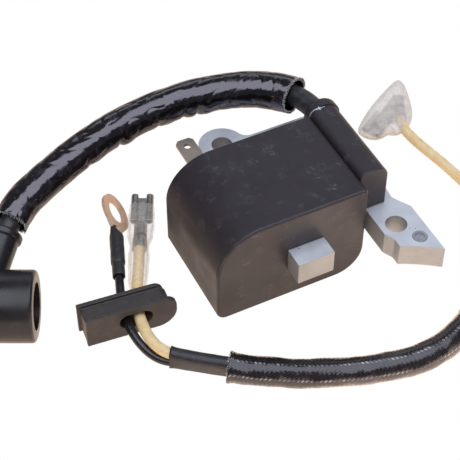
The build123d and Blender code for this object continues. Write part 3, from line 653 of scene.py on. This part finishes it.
# ---- mesh tools ----
def skin(name, rings, closed, finish_name, wraps=None):
    """A mesh through rings of points. closed joins the last ring to the first, else both ends get a face."""
    count = len(rings[0])
    vertices = [point for ring in rings for point in ring]
    last = len(rings) if closed else len(rings) - 1
    faces = []
    for i in range(last):
        near, far = i * count, (i + 1) % len(rings) * count
        for j in range(count):
            k = (j + 1) % count
            faces.append((near + j, near + k, far + k, far + j))
    if not closed:
        faces += [tuple(reversed(range(count))), tuple(range(last * count, len(vertices)))]
    mesh = bpy.data.meshes.new(name)
    mesh.from_pydata(vertices, [], faces)
    mesh.materials.append(FINISHES[finish_name])
    mesh.polygons.foreach_set("use_smooth", [True] * len(mesh.polygons))
    if wraps is not None:
        layer = mesh.uv_layers.new(name="wrap")
        for i, face in enumerate(mesh.polygons):
            ring, side = divmod(i, count)
            if ring >= last:
                continue
            ends = (wraps[ring], wraps[(ring + 1) % len(rings)])
            corners = ((side, 0), (side + 1, 0), (side + 1, 1), (side, 1))
            for loop, (step, which) in zip(face.loop_indices, corners):
                layer.data[loop].uv = (step / count, ends[which])
    mesh.update()
    return add_object(name, mesh)


def frames(line):
    """Along each point of a line: the point, its direction, its level side and its top."""
    result = []
    for i, point in enumerate(line):
        ahead = (line[min(i + 1, len(line) - 1)] - line[max(i - 1, 0)]).normalized()
        side = ahead.cross(Vector((0, 0, 1))).normalized()
        result.append((point, ahead, side, side.cross(ahead)))
    return result


def sleeve(name, line, around, outside, wall, lip, finish_name):
    """Open tube on a line. wall, outside(distance, angle) and lip(angle, end) are in metres.

    The angle is 0 at the top and grows towards the line's right side.
    """
    places = frames(line)
    step = (line[1] - line[0]).length
    total = step * (len(line) - 1)
    lip_depth = 3.0 * MM
    outer, inner, wraps = [], [], []
    for i, (point, ahead, side, top) in enumerate(places):
        distance = i * step
        start_pull = max(0.0, 1.0 - distance / lip_depth) ** 2
        end_pull = max(0.0, 1.0 - (total - distance) / lip_depth) ** 2
        out_ring, in_ring = [], []
        for j in range(around):
            angle = j / around * math.tau
            radial = top * math.cos(angle) + side * math.sin(angle)
            shift = ahead * (end_pull * lip(angle, 1) - start_pull * lip(angle, 0))
            radius = outside(distance, angle)
            out_ring.append(point + shift + radial * radius)
            in_ring.append(point + shift + radial * (radius - wall))
        outer.append(out_ring)
        inner.append(in_ring)
        wraps.append(distance)
    rings = outer + inner[::-1]
    return skin(name, rings, True, finish_name, wraps + wraps[::-1])


def ridged(x, y, z):
    """Noise with sharp crests, 0 to 1."""
    return 1.0 - abs(noise.noise(Vector((x, y, z))))


def wave(x, y, z):
    """Smooth noise, about -1 to 1."""
    return noise.noise(Vector((x, y, z)))


def hump(x, centre, width):
    """A smooth bump, 1 at its centre."""
    return math.exp(-((x - centre) / width) ** 2)


# ---- sleeve on the high-tension lead ----
LINE_STEP = 0.3 * MM
lead_line = spaced(centreline(lead), LINE_STEP)
LEAD_LENGTH = LINE_STEP * (len(lead_line) - 1)
LEAD_SLEEVE_START = 16.0 * MM
LEAD_SLEEVE_END = LEAD_LENGTH - 13.0 * MM
# Folds across the sleeve: millimetres from its start, half width and height.
KINKS = ((24.5, 1.9, 0.5), (28.5, 1.7, 0.35), (35.5, 2.4, 0.4), (47.0, 2.2, 0.6), (57.0, 1.8, 0.2))


def lead_sleeve_radius(distance, angle):
    """Creased along the inside of the bend, where the spare length folds up."""
    along_mm = distance / MM
    x, y = math.cos(angle), math.sin(angle)
    below = max(0.0, -math.cos(angle - 0.35)) ** 0.8
    radius = LEAD_SLEEVE / 2 + 0.32 * hump(along_mm, 0.0, 22.0) + 0.22 * below * hump(along_mm, 4.0, 14.0)
    radius += 0.13 * wave(x * 1.5, y * 1.5, along_mm * 0.13)
    radius -= 0.13 * (ridged(x * 1.2, y * 1.2, along_mm * 0.20) ** 8 - 0.3)
    for centre, width, height in KINKS:
        swing = along_mm + 1.8 * wave(angle * 0.8, centre, 0.0)
        crease = 1.1 * hump(swing, centre + width + 0.6, 0.7)
        radius += below * height * (hump(swing, centre, width) - crease)
    return radius * MM


def lead_sleeve_lip(angle, end):
    """How far the cut edge stands out of square, with small teeth."""
    tooth = 0.35 * wave(math.cos(angle) * 4.0, math.sin(angle) * 4.0, end * 7.0)
    return (tooth + 0.5 * wave(math.cos(angle), math.sin(angle), 3.0 + end)) * MM


lead_sleeve = sleeve(
    "braided_lead_sleeve", stretch_of(lead_line, LEAD_SLEEVE_START, LEAD_SLEEVE_END), 96,
    lead_sleeve_radius, LEAD_SLEEVE_WALL * MM, lead_sleeve_lip, "varnished_braid",
)
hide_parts("ht_lead_sleeve")
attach(lead_sleeve, "coil")

# ---- sleeve on the harness ----
harness_guide = route(
    "harness_guide", [(x, y, SLEEVE_Z) for x, y in shared_route], 1.0, "speckled_braid",
)
guide_line = spaced(centreline(harness_guide), LINE_STEP)
bpy.data.objects.remove(harness_guide)
HARNESS_START = 11.4 * MM
HARNESS_END = LINE_STEP * (len(guide_line) - 1) - 5.0 * MM


def harness_sleeve_radius(distance, angle):
    """Slightly lumpy, open at the near mouth, pressed in on one side part of the way along."""
    along_mm = distance / MM
    x, y = math.cos(angle), math.sin(angle)
    radius = HARNESS_SLEEVE / 2 - 0.05
    radius += 0.22 * wave(x * 1.1, y * 1.1, along_mm * 0.13)
    radius += 0.10 * wave(x * 2.4, y * 2.4, along_mm * 0.45)
    radius += 0.35 * max(0.0, 1.0 - along_mm / 1.6) ** 1.5
    radius -= 0.45 * max(0.0, y) * hump(along_mm, 38.0, 4.0)
    return max(radius, HARNESS_SLEEVE_INSIDE / 2 + 0.3) * MM


def harness_sleeve_lip(angle, end):
    """Ragged cut edge."""
    return 0.45 * wave(math.cos(angle) * 5.0, math.sin(angle) * 5.0, end * 5.0) * MM


harness_sleeve = sleeve(
    "braided_harness_sleeve", stretch_of(guide_line, HARNESS_START, HARNESS_END), 80,
    harness_sleeve_radius, HARNESS_SLEEVE_WALL * MM, harness_sleeve_lip, "speckled_braid",
)
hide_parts("harness_sleeve")
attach(harness_sleeve, "harness")


# ---- shrink tube over both harness wires ----
def nearest(points, target):
    return min(points, key=lambda p: (p - target).length)


def smooth_step(x, low, high):
    """0 up to low, 1 from high, with a smooth rise between them."""
    t = min(1.0, max(0.0, (x - low) / (high - low)))
    return t * t * (3.0 - 2.0 * t)


cream_line = spaced(centreline(cream), LINE_STEP)
black_line = spaced(centreline(black), LINE_STEP)
SHRINK_FROM, SHRINK_TO = mm(-61.9, -3.3, BLACK_Z), mm(-48.9, -13.6, BLACK_Z)
SHRINK_WALL, SHRINK_GAP = 0.35 * MM, 0.03 * MM


def hugging_ring(centres, radii, side, top, wall, around):
    """Outline pulled tight round circles that lie in one plane."""
    ring = []
    for j in range(around):
        angle = j / around * math.tau
        out = top * math.cos(angle) + side * math.sin(angle)
        reach = [c.dot(out) + r for c, r in zip(centres, radii)]
        pick = reach.index(max(reach))
        ring.append(centres[pick] + out * (radii[pick] + wall))
    return ring


def shrink_over_wires(around=48):
    """Tube shrunk over both wires, flared a little at its ends."""
    places = frames(black_line)
    first, last = (black_line.index(nearest(black_line, spot)) for spot in (SHRINK_FROM, SHRINK_TO))
    radii = (BLACK / 2 * MM, CREAM / 2 * MM)
    outer, inner = [], []
    for i in range(first, last + 1, 2):
        point, ahead, side, top = places[i]
        beside = nearest(cream_line, point)
        beside -= ahead * (beside - point).dot(ahead)
        share = (i - first) / (last - first)
        flare = 0.12 * MM * (hump(share, 0.0, 0.04) + hump(share, 1.0, 0.04))
        crinkle = 0.05 * MM * wave(share * 9.0, 0.3, 0.7)
        outer.append(hugging_ring((point, beside), radii, side, top, SHRINK_WALL + flare + crinkle, around))
        inner.append(hugging_ring((point, beside), radii, side, top, SHRINK_GAP, around))
    return skin("harness_shrink", outer + inner[::-1], True, "shrink_black")


harness_shrink = shrink_over_wires()
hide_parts("harness_shrink_tube")
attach(harness_shrink, "harness")


# ---- shrink sleeves on the ring terminals ----
RING_ROLL = math.radians(57.0)
CRIMP_HALF = 1.78
EYE_SPREAD, EYE_FLATTENING, EYE_RUN = 0.22, 0.75, 2.6
WIRE_DROP = 0.20
SHRUNK_WALL = 0.3


def ring_sleeve(name, node_name, centre, axis, roll, start, end, step_at):
    """Tube shrunk on the crimp: flat where it leaves the eye, stepped down to the wire."""
    level = Vector((axis.y, -axis.x, 0.0))
    wide = level * math.cos(roll) - Vector((0, 0, 1)) * math.sin(roll)
    thick = axis.cross(wide)
    around, stations = 40, 70
    outer, inner = [], []
    for i in range(stations):
        back = start + (end - start) * i / (stations - 1)
        flat = 1.0 - smooth_step(back, start, start + EYE_RUN)
        step = smooth_step(back, step_at - 0.5, step_at + 0.4)
        half_wide = CRIMP_HALF + EYE_SPREAD * flat - WIRE_DROP * step
        half_thick = CRIMP_HALF - EYE_FLATTENING * flat - WIRE_DROP * step
        out_ring, in_ring = [], []
        for j in range(around):
            angle = j / around * math.tau
            slant = 0.45 * math.cos(angle) * (1.0 - smooth_step(back, start, start + 2.0))
            pucker = 0.07 * wave(math.cos(angle) * 1.5, math.sin(angle) * 1.5, back * 0.5)
            across, through = math.cos(angle), math.sin(angle)
            centre_here = Vector(centre) - axis * (back + slant)
            spot = wide * across * (half_wide + pucker) + thick * through * (half_thick + pucker)
            hollow = wide * across * (half_wide - SHRUNK_WALL) + thick * through * (half_thick - SHRUNK_WALL)
            out_ring.append((centre_here + spot) * MM)
            in_ring.append((centre_here + hollow) * MM)
        outer.append(out_ring)
        inner.append(in_ring)
    made = skin(name, outer + inner[::-1], True, "shrink_black")
    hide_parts(node_name)
    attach(made, "harness")
    return made


near_ring_sleeve = ring_sleeve(
    "ring_shrink", "ring_shrink_sleeve", ring_centre, ring_axis, RING_ROLL,
    start=6.0, end=21.5, step_at=17.4,
)
far_ring_sleeve = ring_sleeve(
    "ground_ring_shrink", "ground_ring_sleeve", ground_centre, ground_axis, 0.0,
    start=6.4, end=17.5, step_at=14.0,
)


# ---- clear sleeve on the switch terminal ----
def squarish(angle, half_wide, half_high, power):
    """Point of a rounded box outline with the given half sizes."""
    c, s = math.cos(angle), math.sin(angle)
    return (
        half_wide * math.copysign(abs(c) ** (2 / power), c),
        half_high * math.copysign(abs(s) ** (2 / power), s),
    )


def between(stops, x):
    """Value at x on a smooth line through stops of (x, value)."""
    for (x0, v0), (x1, v1) in zip(stops, stops[1:]):
        if x <= x1:
            return v0 + (v1 - v0) * smooth_step(x, x0, x1)
    return stops[-1][1]


# Half width and half height of the film, at millimetres along the terminal from its root.
FILM_WIDE = ((-12.4, 2.15), (-9.5, 2.45), (-3.0, 2.72), (0.6, 2.45), (4.5, 3.25), (9.0, 3.42), (14.4, 3.15))
FILM_HIGH = ((-12.4, 2.0), (-9.0, 2.35), (-2.0, 2.42), (1.0, 2.2), (6.0, 2.2), (14.4, 1.75))
FILM_START, FILM_END = FILM_WIDE[0][0], FILM_WIDE[-1][0]


def switch_sleeve(around=56, stations=110):
    """Film that is round on the wire and squarish over the terminal, with dents and soft ridges."""
    side = Vector((switch_axis.y, -switch_axis.x, 0.0))
    top = Vector((0, 0, 1))
    outer, inner = [], []
    for i in range(stations):
        reach = FILM_START + (FILM_END - FILM_START) * i / (stations - 1)
        power = 2.0 + 1.4 * smooth_step(reach, 0.5, 6.0)
        half_wide, half_high = between(FILM_WIDE, reach), between(FILM_HIGH, reach)
        out_ring, in_ring = [], []
        for j in range(around):
            angle = j / around * math.tau
            dent = 0.16 * wave(math.cos(angle) * 1.6, math.sin(angle) * 1.6, reach * 0.33)
            dent += 0.10 * (ridged(math.cos(angle) * 2.0, math.sin(angle) * 2.0, reach * 0.5) ** 6 - 0.5)
            skew = 0.25 * wave(math.cos(angle), math.sin(angle), 8.0)
            centre = switch_origin + switch_axis * (reach + skew)
            x, z = squarish(angle, half_wide + dent, half_high + dent * 0.6, power)
            out_ring.append((centre + side * x + top * z) * MM)
            x, z = squarish(angle, half_wide + dent - FILM, half_high + dent * 0.6 - FILM, power)
            in_ring.append((centre + side * x + top * z) * MM)
        outer.append(out_ring)
        inner.append(in_ring)
    return skin("switch_clear_sleeve", outer + inner[::-1], True, "clear_vinyl")


clear_sleeve = switch_sleeve()
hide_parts("switch_terminal_sleeve")
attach(clear_sleeve, "harness")


# ---- clear pocket on the flag terminal ----
POCKET_CORNERS = (
    (35.2, 57.6), (37.2, 56.0), (35.0, 49.0), (31.4, 41.6), (25.6, 38.6), (24.4, 40.9),
    (20.2, 39.6), (16.8, 42.0), (16.2, 45.8),
)
POCKET_SPINE = ((33.6, 53.2), (29.8, 46.6), (21.4, 43.4))
POCKET_MIDDLE = Vector((28.0, 47.0))
POCKET_SWELL = 0.45
SPINE_STEPS = 12
POCKET_HEIGHT = 4.7
POCKET_FLOOR = BENCH_Z / MM + 0.08


def rounded_loop(corners, passes):
    """Corners cut again and again, which rounds the outline."""
    for _ in range(passes):
        cut = []
        for a, b in zip(corners, corners[1:] + corners[:1]):
            cut += [a.lerp(b, 0.25), a.lerp(b, 0.75)]
        corners = cut
    return corners


def flag_pocket(levels=14):
    """Crumpled pocket on the bench: rings go out from the spine to the rim and back in over the top."""
    outline = rounded_loop([Vector(corner) for corner in POCKET_CORNERS], 3)
    outline = [corner + (corner - POCKET_MIDDLE).normalized() * POCKET_SWELL for corner in outline]
    spine = [
        Vector(a).lerp(Vector(b), k / SPINE_STEPS)
        for a, b in zip(POCKET_SPINE, POCKET_SPINE[1:]) for k in range(SPINE_STEPS + 1)
    ]
    cores = [nearest(spine, corner) for corner in outline]
    rings = []
    for upper in (False, True):
        for i in range(levels):
            turn = i / (levels - 1) * math.pi / 2
            inward = 1.0 - math.cos(turn) if upper else 1.0 - math.sin(turn)
            ring = []
            for corner, core in zip(outline, cores):
                spot = corner.lerp(core, inward * 0.96)
                crumple = 0.5 * (ridged(spot.x * 0.32, spot.y * 0.32, 4.0) ** 5 - 0.4)
                crumple += 0.18 * wave(spot.x * 0.8, spot.y * 0.8, 2.0)
                if upper:
                    rise = POCKET_HEIGHT * (0.5 + 0.45 * math.sin(turn)) + crumple * math.sin(turn)
                else:
                    rise = POCKET_HEIGHT * 0.5 * (1.0 - math.cos(turn))
                ring.append(Vector((spot.x, spot.y, POCKET_FLOOR + max(0.0, rise))) * MM)
            rings.append(ring)
    return skin("flag_clear_pocket", rings, False, "cloudy_vinyl")


pocket = flag_pocket()
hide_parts("flag_terminal_sleeve")
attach(pocket, "harness")


# ---- torn moulding flash along the tower's back edge, partly a painted highlight on the rim ----
TOWER_CORNER, TOWER_CORNER_ROUND = Vector((-4.9, 32.45, 17.5)), 1.6
FLASH_HIGHLIGHT_END_X = -2.3
FLASH_HIGHLIGHT_DROP = 1.0
FLASH_HIGHLIGHT_STEP = 0.08
CORNER_STEPS = 12


def tower_flash_and_rim_highlight(around=6):
    """Thin pale seam over the tower's left shoulder, with one torn fleck standing up: partly moulding flash,
    partly a painted highlight along the rim.
    """
    turns = [k / CORNER_STEPS * math.pi / 2 for k in range(CORNER_STEPS + 1)]
    path = [
        TOWER_CORNER + TOWER_CORNER_ROUND * Vector((-math.cos(turn), 0.0, math.sin(turn))) for turn in turns
    ]
    path.insert(0, path[0] - Vector((0.0, 0.0, FLASH_HIGHLIGHT_DROP)))
    path.append(Vector((FLASH_HIGHLIGHT_END_X, path[-1].y, path[-1].z)))
    line = spaced([spot * MM for spot in path], FLASH_HIGHLIGHT_STEP * MM)
    rings = []
    side = Vector((0.0, 1.0, 0.0))
    for i, (point, ahead, _, _) in enumerate(frames(line)):
        share = i / (len(line) - 1)
        top = ahead.cross(side)
        torn = 0.5 * hump(share, 0.74, 0.05) + 0.2 * hump(share, 0.62, 0.03)
        thick = (0.10 + 0.09 * abs(wave(i * 0.13, 1.3, 0.0)) + torn) * MM
        ring = []
        for j in range(around):
            angle = j / around * math.tau
            ragged = 1.0 + 0.8 * wave(j * 1.7, i * 0.31, 2.0)
            ring.append(point + (side * math.cos(angle) - top * 0.4 * math.sin(angle)) * thick * ragged)
        rings.append(ring)
    return skin("tower_flash_highlight_strip", rings, False, "flash_and_rim_highlight")


flash_and_highlight = tower_flash_and_rim_highlight()
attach(flash_and_highlight, "coil")


# ---- grommet with its moulded edges rounded over ----
def softened(name, node_name, voxel, passes, slot_name, body_name):
    """The node's own shape with every edge worn round, as moulded rubber has."""
    made = add_object(name, NODES[node_name].data.copy())
    grid = made.modifiers.new("grid", "REMESH")
    grid.mode = "VOXEL"
    grid.voxel_size = voxel * MM
    grid.use_smooth_shade = True
    relax = made.modifiers.new("relax", "SMOOTH")
    relax.factor = 0.5
    relax.iterations = passes
    shape = bpy.data.meshes.new_from_object(made.evaluated_get(bpy.context.evaluated_depsgraph_get()))
    made.modifiers.clear()
    made.data = shape
    shape.materials.clear()
    shape.materials.append(FINISHES[slot_name])
    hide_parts(node_name)
    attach(made, body_name)
    return made


soft_grommet = softened("rubber_grommet", "grommet", 0.13, 3, "grommet_rubber", "harness")


# ---- frayed ends of the braid ----
STRAND = 0.07 * MM
STRAND_ROOT = 0.5 * MM


def frayed_mouth(name, line_point, ahead, radius, count, longest, seed, body_name):
    """Short glass strands standing out of a sleeve's cut end."""
    side = ahead.cross(Vector((0, 0, 1))).normalized()
    top = side.cross(ahead)
    vertices, faces = [], []
    for k in range(count):
        angle = (k + 0.6 * wave(k * 0.73, seed, 0.0)) / count * math.tau
        out = top * math.cos(angle) + side * math.sin(angle)
        round_it = ahead.cross(out)
        reach = longest * (0.35 + 0.65 * abs(wave(k * 1.31, seed, 4.0)) * 2.0)
        lean = 0.8 * wave(k * 0.57, seed, 9.0)
        base = line_point + out * radius
        tip = base + (ahead + out * 0.35 + round_it * lean).normalized() * reach
        first = len(vertices)
        for spot, grow in ((base - ahead * STRAND_ROOT, 1.0), (base.lerp(tip, 0.6), 0.9), (tip, 0.35)):
            for across, through in ((1, 0), (0, 1), (-1, 0), (0, -1)):
                vertices.append(spot + round_it * across * STRAND * grow + out * through * STRAND * grow)
        for level in range(2):
            for j in range(4):
                a, b = first + level * 4 + j, first + level * 4 + (j + 1) % 4
                faces.append((a, b, b + 4, a + 4))
        faces += [(first + 3, first + 2, first + 1, first), (first + 8, first + 9, first + 10, first + 11)]
    mesh = bpy.data.meshes.new(name)
    mesh.from_pydata(vertices, [], faces)
    mesh.materials.append(FRAYED)
    strands = add_object(name, mesh)
    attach(strands, body_name)
    return strands


def mouth_of(line, distance, outward):
    """The point at a distance along the line and the way out of the sleeve there."""
    step = (line[1] - line[0]).length
    index = min(len(line) - 2, round(distance / step))
    return line[index], (line[index + 1] - line[index]).normalized() * outward


fray_at = mouth_of(guide_line, HARNESS_START, -1)
harness_fray = frayed_mouth("harness_sleeve_fray", *fray_at, 3.62 * MM, 110, 0.55 * MM, 1.7, "harness")
fray_at = mouth_of(lead_line, LEAD_SLEEVE_START, -1)
lead_fray = frayed_mouth("lead_sleeve_fray", *fray_at, 4.75 * MM, 110, 0.5 * MM, 5.1, "coil")
fray_at = mouth_of(lead_line, LEAD_SLEEVE_END, 1)
boot_end_fray = frayed_mouth("lead_sleeve_boot_end_fray", *fray_at, 4.3 * MM, 60, 0.9 * MM, 8.3, "coil")


# ---- bench and lights ----
# The bench glows from the first strength on its dim side to the second on its bright side.
BRIGHT_SIDE = (0.30, -0.954, 0.0)
BENCH_GLOW = (0.62, 2.75)


def bench_surface():
    """White to the eye, and a warm glow on what stands on it."""
    made = bpy.data.materials.new("bench_white")
    made.use_nodes = True
    shader = Shader(made.node_tree)
    nodes = made.node_tree.nodes
    seen = shader.add("ShaderNodeLightPath").outputs["Is Camera Ray"]
    plain = shader.add("ShaderNodeEmission", {"Color": (1.0, 1.0, 1.0, 1.0), "Strength": 1.0})
    spot = shader.add("ShaderNodeNewGeometry").outputs["Position"]
    outward = shader.add("ShaderNodeVectorMath", {0: spot}, operation="NORMALIZE").outputs[0]
    facing = shader.add(
        "ShaderNodeVectorMath", {0: outward, 1: BRIGHT_SIDE}, operation="DOT_PRODUCT"
    ).outputs["Value"]
    strength = shader.ramp(facing, -1.0, 1.0, *BENCH_GLOW)
    glow = shader.add("ShaderNodeEmission", {"Color": (1.0, 0.80, 0.66, 1.0), "Strength": strength})
    mix = shader.add("ShaderNodeMixShader", {0: seen, 1: glow.outputs[0], 2: plain.outputs[0]})
    made.node_tree.links.new(mix.outputs[0], nodes["Material Output"].inputs["Surface"])
    return made


BENCH_HALF = 3.0
BENCH_GAP = 0.0001
bench_corners = [
    (x * BENCH_HALF, y * BENCH_HALF, BENCH_Z - BENCH_GAP) for x, y in ((-1, -1), (1, -1), (1, 1), (-1, 1))
]
bench_mesh = bpy.data.meshes.new("bench")
bench_mesh.from_pydata(bench_corners, [], [(0, 1, 2, 3)])
bench_mesh.materials.append(bench_surface())
add_object("bench", bench_mesh)

world = bpy.data.worlds.new("studio")
world.use_nodes = True
SCENE.world = world
sky = Shader(world.node_tree)
room = sky.add("ShaderNodeBackground", {"Color": (0.80, 0.85, 1.0, 1.0), "Strength": 0.14})
paper = sky.add("ShaderNodeBackground", {"Color": (1.0, 1.0, 1.0, 1.0), "Strength": 1.0})
seen_sky = sky.add("ShaderNodeLightPath").outputs["Is Camera Ray"]
sky_mix = sky.add("ShaderNodeMixShader", {0: seen_sky, 1: room.outputs[0], 2: paper.outputs[0]})
world.node_tree.links.new(sky_mix.outputs[0], world.node_tree.nodes["World Output"].inputs["Surface"])


def softbox(name, place, aim, width, depth, power, colour):
    light = bpy.data.lights.new(name, "AREA")
    light.shape = "RECTANGLE"
    light.size, light.size_y = width, depth
    light.energy = power
    light.color = colour
    stand = add_object(name, light)
    stand.location = place
    stand.rotation_euler = (Vector(aim) - Vector(place)).to_track_quat("-Z", "Y").to_euler()
    return stand


softbox(
    "overhead_softbox", place=(-0.05, -0.10, 0.60), aim=(-0.04, -0.03, 0.0),
    width=1.0, depth=0.62, power=5.3, colour=(0.87, 0.91, 1.0),
)
softbox(
    "back_softbox", place=(0.30, 0.55, 0.40), aim=(0.0, 0.0, 0.0),
    width=0.7, depth=0.25, power=0.5, colour=(0.92, 0.95, 1.0),
)
